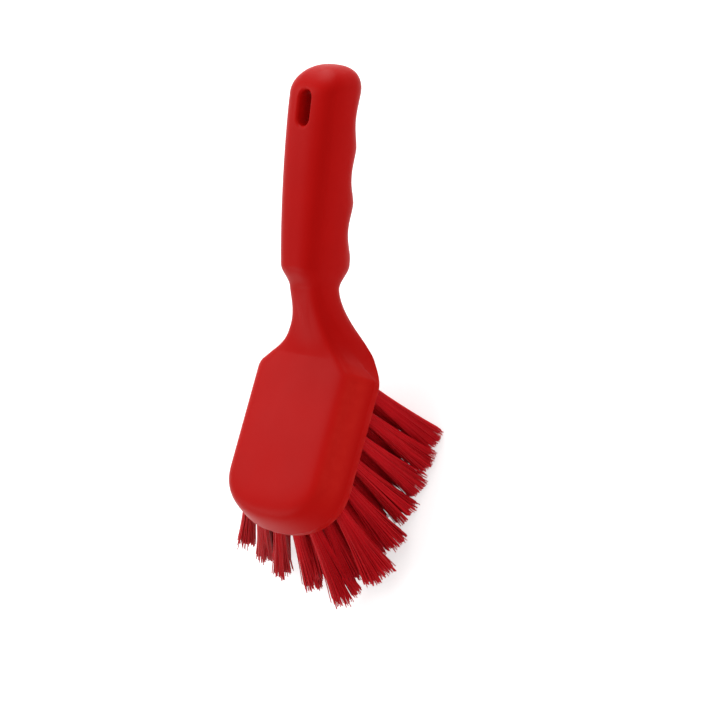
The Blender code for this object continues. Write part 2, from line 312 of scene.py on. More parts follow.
def skin(surface: BMesh, rings: Sequence[Sequence[Sequence[float]]]) -> None:
    """Add a closed skin over rings of equally many points, capped at both ends, facing out.

    Args:
        surface: the surface that it is added to.
        rings: the rings in order, each one a closed loop of points.
    """
    loops = [[surface.verts.new(point) for point in ring] for ring in rings]
    faces = []
    for near, far in zip(loops, loops[1:]):
        for index, vert in enumerate(near):
            following = (index + 1) % len(near)
            corners = (vert, near[following], far[following], far[index])
            faces.append(surface.faces.new(corners))
    faces += [surface.faces.new(loops[0]), surface.faces.new(loops[-1])]
    bmesh.ops.recalc_face_normals(surface, faces=faces)


def circle(count: int) -> Array:
    """Equally spaced angles once round."""
    return np.linspace(0, 2 * math.pi, count + 1)[:-1]


def smooth_curve(places: Sequence[float], values: Sequence[float], place: float) -> float:
    """The value at a place on a monotone cubic, level at both ends.

    Args:
        places: the stations' places in order.
        values: the stations' values.
        place: where the curve is read.

    Returns:
        The value there.
    """
    if place <= places[0]:
        return values[0]
    if place >= places[-1]:
        return values[-1]
    gaps = [after - before for before, after in zip(places, places[1:])]
    slopes = [(after - before) / gap for before, after, gap in zip(values, values[1:], gaps)]
    tangents = [0.0]
    for slope_in, slope_out, gap_in, gap_out in zip(slopes, slopes[1:], gaps, gaps[1:]):
        if slope_in * slope_out <= 0:
            tangents.append(0.0)
            continue
        weight_in = 2 * gap_out + gap_in
        weight_out = gap_out + 2 * gap_in
        harmonic = weight_in / slope_in + weight_out / slope_out
        tangents.append((weight_in + weight_out) / harmonic)
    tangents.append(0.0)
    span = max(index for index, start in enumerate(places[:-1]) if start <= place)
    t = (place - places[span]) / gaps[span]
    return (
        values[span] * (2 * t**3 - 3 * t**2 + 1)
        + tangents[span] * gaps[span] * (t**3 - 2 * t**2 + t)
        + values[span + 1] * (3 * t**2 - 2 * t**3)
        + tangents[span + 1] * gaps[span] * (t**3 - t**2)
    )


def blend(start: float, end: float, place: Any) -> Any:
    """A smooth step from 0 at start to 1 at end, for a number or an array."""
    t = np.clip((place - start) / (end - start), 0.0, 1.0)
    return t * t * (3 - 2 * t)


def quarter(share: Any, power: float) -> Any:
    """Height of a superelliptic quarter round, from 0 at share 0 to 1 at share 1."""
    return np.maximum(1 - (1 - share) ** power, 0.0) ** (1 / power)


# Finishes


@dataclass(frozen=True)
class MouldTexture:
    """The shared surface of moulded and drawn plastic: colour drift, fine grain, handling marks."""

    name: str = "mould_texture"
    drift_detail: float = 3.0
    drift_span: Pair = (0.38, 0.66)
    grain_detail: float = 2.0
    pebble_share: float = -0.5
    mark_stretch: Triple = (0.22, 1.0, 1.0)
    mark_scale: float = 900.0
    mark_detail: float = 4.0
    mark_distortion: float = 0.6
    mark_span: Pair = (0.60, 0.74)
    patch_scale: float = 46.0
    patch_detail: float = 2.0
    patch_span: Pair = (0.48, 0.62)
    scuff_roughness: float = 0.25
    scuff_height: float = -0.6

    @cache
    def group(self) -> NodeTree:
        """The node group, built once.

        Returns:
            The group, which gives a colour, a roughness and a height.
        """
        inputs = {"Position": "Vector", "Colour": "Color", "Drift colour": "Color"}
        inputs |= dict.fromkeys(Grain.NUMBERS, "Float")
        outputs = {"Colour": "Color", "Roughness": "Float", "Height": "Float"}
        tree = new_group(self.name, "ShaderNodeTree", inputs, outputs)
        graph = Graph(tree)
        given = graph.outs("NodeGroupInput")
        place = given["Position"]

        drift = graph.noise(place, given["Drift scale"], self.drift_detail)["Fac"]
        share = graph.ramp(drift, self.drift_span) * given["Drift share"]
        colour = graph.tint(share, given["Colour"], given["Drift colour"])

        grain = graph.noise(place, given["Grain scale"], self.grain_detail)["Fac"]
        cells = {"Vector": place, "Scale": given["Grain scale"]}
        pebble = graph.outs("ShaderNodeTexVoronoi", cells)["Distance"]

        along = place.math("MULTIPLY", self.mark_stretch)
        marks = graph.noise(along, self.mark_scale, self.mark_detail, self.mark_distortion)["Fac"]
        patches = graph.noise(place, self.patch_scale, self.patch_detail)["Fac"]
        scuffs = graph.ramp(marks, self.mark_span) * graph.ramp(patches, self.patch_span)
        scuffs = scuffs * given["Scuff share"]

        rough = given["Roughness"] + (patches - 0.5) * given["Roughness swing"]
        results = {
            "Colour": colour,
            "Roughness": scuffs * self.scuff_roughness + rough,
            "Height": scuffs * self.scuff_height + (pebble * self.pebble_share + grain),
        }
        graph.node("NodeGroupOutput", results)
        return tree


@dataclass(frozen=True)
class Grain:
    """How one plastic wears the shared surface: its drift, its grain, its gloss and its relief."""

    drift_share: float
    drift_scale: float
    grain_scale: float
    roughness: float
    roughness_swing: float
    scuff_share: float
    specular: float
    bump_strength: float
    bump_distance: float
    NUMBERS: ClassVar[tuple[str, ...]] = (
        "Drift share", "Drift scale", "Grain scale", "Roughness", "Roughness swing", "Scuff share"
    )

    def dress(self, graph: Graph, shader: Node, place: Wire, colour: Any, drift: Any) -> Wire:
        """Give a shader everything but its colour.

        Args:
            graph: the material's nodes.
            shader: its Principled shader.
            place: the point's place.
            colour: the plastic's colour.
            drift: the colour that it drifts to.

        Returns:
            The colour of the surface, before its wear and painted sheen.
        """
        inputs = {name: getattr(self, name.lower().replace(" ", "_")) for name in self.NUMBERS}
        inputs |= {"Position": place, "Colour": colour, "Drift colour": drift}
        surface = graph.outs("ShaderNodeGroup", inputs, node_tree=MouldTexture().group())
        relief = {"Strength": self.bump_strength, "Distance": self.bump_distance}
        normal = graph.out("ShaderNodeBump", relief | {"Height": surface["Height"]})
        finish = {"Roughness": surface["Roughness"], "Normal": normal}
        graph.feed(shader, finish | {"Specular IOR Level": self.specular})
        return surface["Colour"]


@dataclass(frozen=True)
class MouldedRed:
    """Satin red polypropylene: clean colour, a fine mould grain, and paler on its held sides, rim
    and end, partly from wear and partly painted sheen.
    """

    name: str = "moulded_red_polypropylene"
    colour: Colour = (0.50, 0.0034, 0.0024, 1.0)
    drift: Colour = (0.46, 0.0028, 0.0020, 1.0)
    # The rim and butt end are painted paler: rub wear and a painted highlight.
    rub_wear_and_sheen: Colour = (0.54, 0.020, 0.016, 1.0)
    rub_wear_and_sheen_span: Pair = (0.42, 0.64)
    rub_wear_and_sheen_share: Pair = (0.15, 0.75)
    # The head's sides below the back are painted paler: grip wear and a painted sheen.
    grip_wear_and_sheen: Colour = (0.57, 0.012, 0.008, 1.0)
    grip_wear_and_sheen_span: Pair = (0.36, 0.70)
    grip_wear_and_sheen_share: Pair = (0.75, 1.0)
    rub_and_sheen_scale: float = 210.0
    rub_and_sheen_detail: float = 4.0
    grain: Grain = Grain(
        drift_share=0.55, drift_scale=26.0, grain_scale=2200.0, roughness=0.38,
        roughness_swing=0.10, scuff_share=0.30, specular=0.055,
        bump_strength=0.10, bump_distance=0.00012,
    )

    def build(self) -> Material:
        """The red, paler on the back's long edges (grip wear and painted sheen) and on the rim and
        end (rub wear and painted highlight).

        Returns:
            A Principled material on Object coordinates.
        """
        material, graph, shader = new_material(self.name)
        place = graph.outs("ShaderNodeTexCoord")["Object"]
        colour = self.grain.dress(graph, shader, place, self.colour, self.drift)
        rub_and_sheen = graph.noise(place, self.rub_and_sheen_scale, self.rub_and_sheen_detail)["Fac"]
        # Paler head sides: grip wear and painted sheen.
        grip_wear_and_sheen = graph.ramp(rub_and_sheen, self.grip_wear_and_sheen_span, self.grip_wear_and_sheen_share)
        colour = graph.tint(graph.stored("edge") * grip_wear_and_sheen, colour, self.grip_wear_and_sheen)
        # Paler rim and butt end: rub wear and painted highlight.
        rub_wear_and_sheen = graph.ramp(rub_and_sheen, self.rub_wear_and_sheen_span, self.rub_wear_and_sheen_share)
        colour = graph.tint(graph.stored("rim") * rub_wear_and_sheen, colour, self.rub_wear_and_sheen)
        graph.feed(shader, {"Base Color": colour})
        return material


@dataclass(frozen=True)
class CrimsonFilament:
    """Extruded crimson filament: each strand a little different, paler where its tip is frayed."""

    name: str = "crimson_filament"
    deep: Colour = (0.55, 0.0036, 0.0080, 1.0)
    bright: Colour = (0.84, 0.0110, 0.0210, 1.0)
    frayed: Colour = (0.70, 0.0300, 0.0500, 1.0)
    frayed_span: Pair = (0.93, 1.0)
    frayed_share: Pair = (0.0, 0.40)
    grain: Grain = Grain(
        drift_share=0.35, drift_scale=110.0, grain_scale=5200.0, roughness=0.40,
        roughness_swing=0.16, scuff_share=0.50, specular=0.15,
        bump_strength=0.15, bump_distance=0.00005,
    )

    def build(self) -> Material:
        """The crimson, by each strand's tone and the place along the strand.

        Returns:
            A Principled material on Object coordinates.
        """
        material, graph, shader = new_material(self.name)
        place = graph.outs("ShaderNodeTexCoord")["Object"]
        strand = graph.tint(graph.stored("tone"), self.deep, self.bright)
        colour = self.grain.dress(graph, shader, place, strand, self.deep)
        tip = graph.ramp(graph.stored("along"), self.frayed_span, self.frayed_share)
        graph.feed(shader, {"Base Color": graph.tint(tip, colour, self.frayed)})
        return material


# The brush


@dataclass(frozen=True)
class WearAndSheen:
    """Where the stock is painted paler: wear from hands and floors, and painted sheen."""

    rim_height: float = 0.0010
    rim_reach: float = 0.0022
    end_reach: float = 0.0060
    end_share: float = 0.5
    below_back: Pair = (0.0002, 0.0030)
    above_rim: Pair = (0.0, 0.0060)
    past_toe: Pair = (0.0100, 0.0380)
    short_of_heel: Pair = (0.1080, 0.0900)


@dataclass
class Stock:
    """The moulded stock: a pillow-edged head that turns into an arched, scalloped handle."""

    toe_x: float
    face_z: float
    length: float = 0.2662
    face_middle: float = 0.054
    toe_run: float = 0.0320
    shoulder_start: float = 0.0925
    heel_edge: float = 0.1092
    heel_fold: float = 0.1030
    heel_fold_power: float = 1.7
    side_fold: float = 0.0970
    side_fold_power: float = 1.2
    neck_place: float = 0.1415
    grip_place: float = 0.1546
    head_width: float = 0.0925
    head_thickness: float = 0.0209
    rim_height: float = 0.0048
    rim_rounding: float = 0.0009
    top_edge_run: float = 0.0260
    top_edge_climb: float = 3.8
    shoulder_mid_width: float = 0.0616
    tail_width: float = 0.0392
    toe_power: float = 2.2
    top_edge_power: float = 3.0
    neck_width: float = 0.0288
    neck_depth: float = 0.0230
    neck_height: float = 0.0274
    grip_width: float = 0.0345
    grip_depth: float = 0.0370
    butt_width: float = 0.0416
    butt_depth: float = 0.0327
    butt_height: float = 0.0630
    butt_rounding: float = 0.0156
    arch_power: float = 1.22
    handle_power: float = 2.9
    flank_angles: Pair = (math.radians(-42), math.radians(26))
    shoulder_angle: float = math.radians(62)
    butt_power: float = 2.13
    butt_run: float = 0.0400
    butt_tilt: float = math.radians(17)
    scallop_count: int = 3
    scallop_depth: float = 0.0037
    scallop_pitch: float = 0.0311
    scallop_first: float = 0.1580
    scallop_power: float = 1.5
    slot_length: float = 0.0208
    slot_width: float = 0.0098
    slot_to_butt: float = 0.0243
    slot_fillet: float = 0.0017
    slot_points: int = 64
    mouth_steps: int = 9
    mouth_start: float = 0.1
    cutter_flare: float = 1.02
    cutter_levels: Pair = (-0.0040, -0.00004)
    coarse_steps: tuple[int, int, int, int] = (5, 3, 6, 4)
    fine_steps: tuple[int, int, int, int, int] = (18, 5, 7, 30, 14)
    fillet_share: float = 0.2
    slope_step: float = 0.0005
    toe_rings: int = 40
    head_rings: int = 26
    shoulder_rings: int = 58
    handle_rings: int = 96
    butt_rings: int = 24
    butt_gap: float = 0.3
    crease_angle: float = math.radians(38)
    wear_and_sheen: WearAndSheen = WearAndSheen()

    @property
    def corners(self) -> Array:
        """Where the section's corners lie on its coarse count of steps."""
        return np.cumsum((0, *self.coarse_steps))

    @property
    def butt(self) -> float:
        """Where the rounded butt begins, from the toe."""
        return self.length - self.butt_rounding

    def soft_step(self, climb: Any) -> Any:
        """Height of a straight climb that rounds off below one."""
        return climb / (1 + climb**self.top_edge_power) ** (1 / self.top_edge_power)

    def fold(self, start: float, power: float, x: float) -> float:
        """A share that leaves 0 in a crease at start and comes smoothly to 1 at the neck."""
        climb = min(max((x - start) / (self.neck_place - start), 0.0), 1.0)
        return 1 - (1 - climb) ** power

    def half_width(self, x: float) -> float:
        """Half the head's width.

        Args:
            x: the place from the toe.

        Returns:
            The half width there.
        """
        if x < self.toe_run:
            return self.head_width / 2 * float(quarter(x / self.toe_run, self.toe_power))
        middle = (self.shoulder_start + self.neck_place) / 2
        places = (self.shoulder_start, middle, self.neck_place)
        widths = (self.head_width, self.shoulder_mid_width, self.tail_width)
        return smooth_curve(places, [width / 2 for width in widths], x)

    def inset(self, x: float, y: Array) -> Array:
        """How far points of the head's plan lie in from its outline.

        Args:
            x: their place from the toe.
            y: their distances from the middle plane.

        Returns:
            The distances from the outline.
        """
        if x < self.toe_run:
            along = 1 - x / self.toe_run
            across = np.abs(y) / (self.head_width / 2)
            norm = (along**self.toe_power + across**self.toe_power) ** (1 / self.toe_power)
            reach = np.hypot(self.toe_run - x, y)
            return reach / norm - reach
        step = self.slope_step
        fall = (self.half_width(x - step) - self.half_width(x + step)) / (2 * step)
        return (self.half_width(x) - np.abs(y)) / math.hypot(1, fall)

    def head_section(self, x: float) -> tuple[Array, Array]:
        """The head's half section, from the middle of the tuft face round to the back.

        Args:
            x: the section's place from the toe.

        Returns:
            The section's y and z values.
        """
        face, fillet, wall, edge, back = self.fine_steps
        half = self.half_width(x)
        run = min(self.top_edge_run, half)
        rounding = min(self.rim_rounding, half)
        turn = np.linspace(0, math.pi / 2, fillet + 1)[1:]
        over = np.linspace(0, math.pi / 2, edge + 1)[1:]
        y = np.concatenate(
            [
                np.linspace(0, half - rounding, face + 1),
                half - rounding + rounding * np.sin(turn),
                np.full(wall, half),
                half - run * (1 - np.cos(over)),
                np.linspace(half - run, 0, back + 1)[1:],
            ]
        )
        inset = np.maximum(self.inset(x, y), 0.0)
        under = np.clip(inset / self.rim_rounding, 0.0, 1.0)
        low = self.rim_rounding * (1 - np.sqrt(np.maximum(1 - (1 - under) ** 2, 0.0)))
        share = np.clip(inset / self.top_edge_run, 0.0, 1.0)
        climb = self.soft_step(share * self.top_edge_climb) / self.soft_step(self.top_edge_climb)
        high = self.rim_height + (self.head_thickness - self.rim_height) * climb
        first = face + fillet
        z = np.where(np.arange(y.size) <= first, low, high)
        z[first : first + wall + 1] = np.linspace(low[first], self.rim_height, wall + 1)
        return y, z

    def section_steps(self) -> Array:
        """Where the fine section's points lie on the coarse count, for the handle's angles.

        Returns:
            The places of the points in order.
        """
        _, fillet_end, wall_end, edge_end, back_end = self.corners
        ends = (0, fillet_end - self.fillet_share, fillet_end, wall_end, edge_end, back_end)
        spans = zip(ends, ends[1:], self.fine_steps)
        steps = [np.linspace(start, end, count + 1)[1:] for start, end, count in spans]
        return np.concatenate([[0.0], *steps])

    def spine(self, x: float) -> Pair:
        """The handle's arched centre line.

        Args:
            x: the place from the toe.

        Returns:
            The line's height over the tuft face, and its tilt.
        """
        span = self.length - self.neck_place
        rise = self.butt_height - self.neck_height
        left = min((self.length - x) / span, 1.0)
        slope = self.arch_power * rise / span * left ** (self.arch_power - 1)
        height = self.neck_height + rise * (1 - left**self.arch_power)
        height += slope * min(x - self.neck_place, 0.0)
        fan = self.butt_tilt * float(blend(self.length - self.butt_run, self.length, x))
        return height, math.atan(slope) + fan

    def scallop(self, x: float) -> float:
        """Depth of the finger scallops.

        Args:
            x: the place from the toe.

        Returns:
            The depth there.
        """
        turn = (x - self.scallop_first) / self.scallop_pitch
        if 0 <= turn <= self.scallop_count:
            return self.scallop_depth * abs(math.sin(math.pi * turn)) ** self.scallop_power
        return 0.0

    def handle_section(self, x: float, steps: Array) -> tuple[Array, Array]:
        """The handle's half section about its centre line, from its underside to its back.

        Args:
            x: the section's place from the toe.
            steps: the points' places on the coarse section's count.

        Returns:
            The section's y and z offsets.
        """
        places = (self.neck_place, self.grip_place, self.butt)
        widths = (self.neck_width, self.grip_width, self.butt_width)
        depths = (self.neck_depth, self.grip_depth, self.butt_depth)
        half_width = smooth_curve(places, widths, x) / 2
        half_depth = smooth_curve(places, depths, x) / 2
        angles = (-math.pi / 2, *self.flank_angles, self.shoulder_angle, math.pi / 2)
        turn = np.interp(steps, self.corners, angles)
        across = np.cos(turn)
        up = np.sin(turn)
        power = self.handle_power
        norm = np.abs(across / half_width) ** power + np.abs(up / half_depth) ** power
        reach = norm ** (-1 / power)
        lift = self.scallop(x) * blend(0.0, 1.0, -up)
        share = min((self.length - x) / self.butt_rounding, 1.0)
        end = float(quarter(share, self.butt_power))
        return reach * across * end, (reach * up + lift) * end

    def ring(self, x: float) -> Array:
        """One closed ring of the stock, where the head's section turns into the handle's.

        Args:
            x: the ring's place from the toe.

        Returns:
            Its points in the brush's frame.
        """
        steps = self.section_steps()
        centre, tilt = self.spine(x)
        shares = (
            float(blend(self.heel_edge, self.neck_place, x)),
            self.fold(self.side_fold, self.side_fold_power, x),
            self.fold(self.heel_fold, self.heel_fold_power, x),
        )
        share = np.interp(steps, self.corners[[1, 2, 4]], shares)
        head_y, head_z = self.head_section(x)
        handle_y, handle_z = self.handle_section(x, steps)
        points = np.stack(
            [
                x - share * share * handle_z * math.sin(tilt),
                head_y + share * (handle_y - head_y),
                head_z + share * (centre + handle_z * math.cos(tilt) - head_z),
            ],
            axis=1,
        )
        mirrored = points[-2:0:-1] * (1, -1, 1)
        return np.concatenate([points, mirrored]) + (self.toe_x, 0, self.face_z)

    def places(self) -> Array:
        """Where the rings stand.

        Returns:
            The rings' places from the toe, closer together where the form turns.
        """
        numbers = np.arange(1, self.toe_rings + 1)
        wide = np.sin(math.pi / 2 * numbers / (self.toe_rings + 1))
        toe = self.toe_run * (1 - (1 - wide**self.toe_power) ** (1 / self.toe_power))
        head = np.linspace(self.toe_run, self.shoulder_start, self.head_rings)
        shoulders = np.linspace(self.shoulder_start, self.neck_place, self.shoulder_rings)
        handle = np.linspace(self.neck_place, self.butt, self.handle_rings)
        numbers = np.arange(1, self.butt_rings + 1)
        turned = np.sin(math.pi / 2 * numbers / (self.butt_rings + self.butt_gap))
        end = self.butt + self.butt_rounding * turned
        return np.concatenate([toe, head, shoulders[1:], handle[1:], end])

    def slot_cutter(self, body: BMesh) -> Object:
        """The hanging slot's cutter, whose rounded mouths follow the handle's own surface.

        Args:
            body: the stock before it is cut.

        Returns:
            The cutter's object.
        """
        tree = BVHTree.FromBMesh(body)
        place = self.length - self.slot_to_butt
        centre, tilt = self.spine(place)
        middle = Vector((self.toe_x + place, 0, self.face_z + centre))
        turn = Matrix.Rotation(-tilt, 3, "Y")
        up = turn @ Vector((0, 0, 1))
        radius = self.slot_width / 2
        straight = (self.slot_length - self.slot_width) / 2
        fillet = self.slot_fillet
        levels = [(level, fillet * self.cutter_flare) for level in self.cutter_levels]
        for angle in np.linspace(self.mouth_start, math.pi / 2, self.mouth_steps):
            levels.append((fillet * (1 - math.cos(angle)), fillet * (1 - math.sin(angle))))
        rings = []
        mouths = [(1, level) for level in levels] + [(-1, level) for level in reversed(levels)]
        for side, (depth, flare) in mouths:
            ring = []
            for angle in circle(self.slot_points) + math.pi / self.slot_points:
                x = (radius + flare) * math.cos(angle)
                x += math.copysign(straight, x)
                seat = middle + turn @ Vector((x, (radius + flare) * math.sin(angle), 0))
                hit = tree.ray_cast(seat, up * side)[3]
                ring.append(seat + up * side * (hit - depth))
            rings.append(ring)
        cutter = bmesh.new()
        skin(cutter, rings)
        return surface_object("slot_cutter", cutter)

    def build(self, holes: Object, finish: Material) -> Object:
        """Loft the stock, cut its slot and its tuft holes, and dress it.

        Args:
            holes: the cutter that holds every tuft hole.
            finish: the stock's material.

        Returns:
            The finished piece.
        """
        body = bmesh.new()
        skin(body, [self.ring(float(x)) for x in self.places()])
        cutters = (self.slot_cutter(body), holes)
        piece = surface_object("moulded_stock", body)
        for cutter in cutters:
            modifier = piece.modifiers.new(cutter.name, "BOOLEAN")
            modifier.object = cutter
            modifier.operation = "DIFFERENCE"
            modifier.solver = "EXACT"
        settle(piece)
        for cutter in cutters:
            bpy.data.objects.remove(cutter, do_unlink=True)
        piece.data.materials.clear()
        piece.data.materials.append(finish)
        self.mark_wear_and_sheen(piece.data)
        piece.data.shade_smooth()
        piece.data.set_sharp_from_angle(angle=self.crease_angle)
        return piece

    def mark_wear_and_sheen(self, mesh: Mesh) -> None:
        """Store where the stock is painted paler, for wear and painted sheen: the head's rim, the
        handle's end, the back's long edges.

        Args:
            mesh: the finished stock's mesh.
        """
        wear_and_sheen = self.wear_and_sheen
        points = np.empty(len(mesh.vertices) * 3, np.float32)
        mesh.vertices.foreach_get("co", points)
        points = points.reshape(-1, 3)
        x = points[:, 0] - self.toe_x
        z = points[:, 2] - self.face_z
        # Mask for the paler rim and end: rub wear and painted highlight.
        rim = np.clip(1 - np.abs(z - wear_and_sheen.rim_height) / wear_and_sheen.rim_reach, 0, 1)
        end = np.clip((x - self.length + wear_and_sheen.end_reach) / wear_and_sheen.end_reach, 0, 1)
        rub_and_sheen = np.maximum(rim * (x < self.heel_edge), end * wear_and_sheen.end_share)
        store_values(mesh, "rim", rub_and_sheen.astype(np.float32))
        # Mask for the paler sides below the back: grip wear and painted sheen.
        edge = blend(*wear_and_sheen.below_back, self.head_thickness - z)
        edge *= blend(*wear_and_sheen.above_rim, z - self.rim_height)
        edge *= blend(*wear_and_sheen.past_toe, x) * blend(*wear_and_sheen.short_of_heel, x)
        store_values(mesh, "edge", edge.astype(np.float32))


@dataclass(frozen=True)
class Filaments:
    """A tuft's filaments: how many, how they fan, clump and stray, and how they are trimmed."""

    name: str = "grow_tufts"
    count: int = 170
    radius: float = 0.00036
    length: float = 0.0525
    root_radius: float = 0.0032
    root_depth: float = 0.0070
    fan_along: float = 0.0041
    fan_across: float = 0.0050
    spiral_angle: float = 2.399963
    clump_scale: float = 1.35
    clump_detail: float = 1.0
    clump_push: float = 2.6
    stray_power: float = 22.0
    stray_reach: float = 0.0034
    wander_reach: float = 0.0004
    clump_level: float = 0.35
    clump_jag: float = 3.0
    strand_jag: float = 0.7
    trim_jag: float = 0.0011
    clump_tone: Pair = (1.6, -0.55)
    clump_tone_share: float = 0.85
    strand_tone_share: float = 0.25
    bend_power: float = 0.8
    roll: float = 40.0
    taper: float = -0.22
    taper_power: float = 3.0
    rings: int = 7
    sides: int = 4

    def sizes(self) -> dict[str, float]:
        """The tree's inputs that are lengths, and their values."""
        return {
            "Root radius": self.root_radius,
            "Set depth": self.root_depth,
            "Length": self.length,
            "Filament radius": self.radius,
            "Fan along": self.fan_along,
            "Fan across": self.fan_across,
        }

    @cache
    def tree(self) -> NodeTree:
        """The tree that grows filaments from a mesh with one point a tuft, built once.

        Returns:
            A geometry tree with named inputs.
        """
        inputs = {"Tufts": "Geometry", "Finish": "Material", "Seed": "Int", "Filaments": "Int"}
        inputs |= dict.fromkeys((*self.sizes(), "Raggedness", "Clumping"), "Float")
        outputs = {"Bristles": "Geometry"}
        tree = new_group(self.name, "GeometryNodeTree", inputs, outputs)
        graph = FieldGraph(tree)
        given = graph.outs("NodeGroupInput")
        count, length, depth = given["Filaments"], given["Length"], given["Set depth"]
        tufts = {"Geometry": given["Tufts"], "Amount": count}
        copies = graph.outs("GeometryNodeDuplicateElements", tufts, domain="POINT")
        number = copies["Duplicate Index"]
        index = graph.geometry("InputIndex")
        draws = [graph.chance(index, given["Seed"], offset) for offset in range(1, 5)]
        jag_draw, trim_draw, stray_draw, tone_draw = draws
        down = graph.named("down", "FLOAT_VECTOR")
        turn, spread = graph.named("turn"), graph.named("spread")

        # Where each filament stands in its hole
        share = ((number + 0.5) / count).math("SQRT")
        angle = number * self.spiral_angle + turn
        a, b = share * angle.math("COSINE"), share * angle.math("SINE")
        ahead = (1.0, 0.0, 0.0)
        both = {0: down, 1: ahead}
        dot = graph.out("ShaderNodeVectorMath", both, "Value", operation="DOT_PRODUCT")
        first = (ahead - down * dot).math("NORMALIZE")
        second = down.math("CROSS_PRODUCT", first)
        spot = (first * a + second * b) * given["Root radius"]
        root = graph.geometry("InputPosition") + spot - down * depth

        # How it fans out, with its neighbours in a clump and a little on its own
        along = graph.even(a) * spread * given["Fan along"]
        across = graph.even(b) * spread * given["Fan across"]
        cell = graph.out("ShaderNodeCombineXYZ", {0: a, 1: b, 2: turn})
        clump = graph.noise(cell, self.clump_scale, self.clump_detail)
        push = (clump["Color"] - (0.5, 0.5, 0.5)) * (given["Clumping"] * self.clump_push)
        loose = stray_draw.math("POWER", self.stray_power) * self.stray_reach + self.wander_reach
        cube = {"Min": (-1.0,) * 3, "Max": (1.0,) * 3, "ID": index, "Seed": given["Seed"]}
        wander = graph.out("FunctionNodeRandomValue", cube, data_type="FLOAT_VECTOR")
        aim = down * length + first * along + second * across + push + wander * loose
        aim = aim.math("NORMALIZE")

        # How long it is: ragged by clump and by strand, and trimmed where it would pass the plane
        jag = (clump["Fac"] - self.clump_level).math("MAXIMUM", 0.0) * self.clump_jag
        full = length + depth - given["Raggedness"] * (jag_draw * self.strand_jag + jag)
        root_z, aim_z = (graph.outs("ShaderNodeSeparateXYZ", {0: end})["Z"] for end in (root, aim))
        trimmed = (root_z - trim_draw * self.trim_jag) / (aim_z * -1.0)
        slope, base = self.clump_tone
        clump_tone = (clump["Fac"] * slope + base) * self.clump_tone_share
        points = graph.store(copies["Geometry"], "strand_root", root, "FLOAT_VECTOR")
        points = graph.store(points, "strand_aim", aim, "FLOAT_VECTOR")
        points = graph.store(points, "strand_reach", full.math("MINIMUM", trimmed))
        points = graph.store(points, "tone", tone_draw * self.strand_tone_share + clump_tone)

        # The filament itself
        line = graph.geometry("CurvePrimitiveLine")
        line = graph.geometry("ResampleCurve", {"Curve": line, "Count": self.rings})
        strands = graph.geometry("InstanceOnPoints", {"Points": points, "Instance": line})
        strands = graph.geometry("RealizeInstances", {"Geometry": strands})
        t = graph.geometry("SplineParameter")
        bend = t.math("POWER", self.bend_power)
        way = down * (1.0 - bend) + graph.named("strand_aim", "FLOAT_VECTOR") * bend
        travel = way * (graph.named("strand_reach") * t)
        place = graph.named("strand_root", "FLOAT_VECTOR") + travel
        strands = graph.geometry("SetPosition", {"Geometry": strands, "Position": place})
        strands = graph.store(strands, "along", t)
        roll = graph.named("tone") * self.roll
        strands = graph.geometry("SetCurveTilt", {"Curve": strands, "Tilt": roll})
        profile = {"Resolution": self.sides, "Radius": given["Filament radius"]}
        profile = graph.geometry("CurvePrimitiveCircle", profile, mode="RADIUS")
        scale = t.math("POWER", self.taper_power) * self.taper + 1.0
        tube = {"Curve": strands, "Profile Curve": profile, "Scale": scale, "Fill Caps": True}
        tube = graph.geometry("CurveToMesh", tube)
        tube = graph.geometry("SetShadeSmooth", {"Geometry": tube, "Shade Smooth": True})
        tube = graph.geometry("RealizeInstances", {"Geometry": tube})
        tube = graph.geometry("SetMaterial", {"Geometry": tube, "Material": given["Finish"]})
        graph.node("NodeGroupOutput", {"Bristles": tube})
        return tree


# How the worn tufts lie that are seen, by row from the toe, column from the middle, and side:
# lean to the toe and splay in degrees, and how far the tuft opens
COMBED = {
    (0, 0, Side.LEFT): (38.5, 31, 0.3),
    (0, 1, Side.LEFT): (30, 34.5, 0.2),
    (0, 0, Side.RIGHT): (40, -13.5, 0.35),
    (0, 1, Side.RIGHT): (46, 15, 1.3),
    (1, 0, Side.LEFT): (50, 32.5, 0.2),
    (1, 1, Side.LEFT): (44.5, 34.5, 0.2),
    (1, 2, Side.LEFT): (43, 39, 0.3),
    (1, 0, Side.RIGHT): (48, -1, 0.5),
    (1, 1, Side.RIGHT): (48, 20, 1.2),
    (1, 2, Side.RIGHT): (43.5, 26, 1.5),
    (2, 1, Side.RIGHT): (43, 30, 1.3),
    (2, 2, Side.RIGHT): (31, 19, 1.35),
    (3, 2, Side.RIGHT): (23.5, 16, 1.05),
    (4, 2, Side.RIGHT): (21.5, 19, 1.0),
    (5, 2, Side.RIGHT): (20.5, 20.5, 1.0),
    (6, 2, Side.RIGHT): (20.5, 21, 1.0),
}


class Tuft(NamedTuple):
    """One tuft: its place in the pattern, its root on the tuft face, its direction and spread."""

    row: int
    column: int
    side: Side
    root: Vector
    down: Vector
    spread: float

    @property
    def node(self) -> str:
        """The frame's node that it stands for."""
        return f"tuft_row_{self.row + 1}_{self.side.name.lower()}_{self.column + 1}"


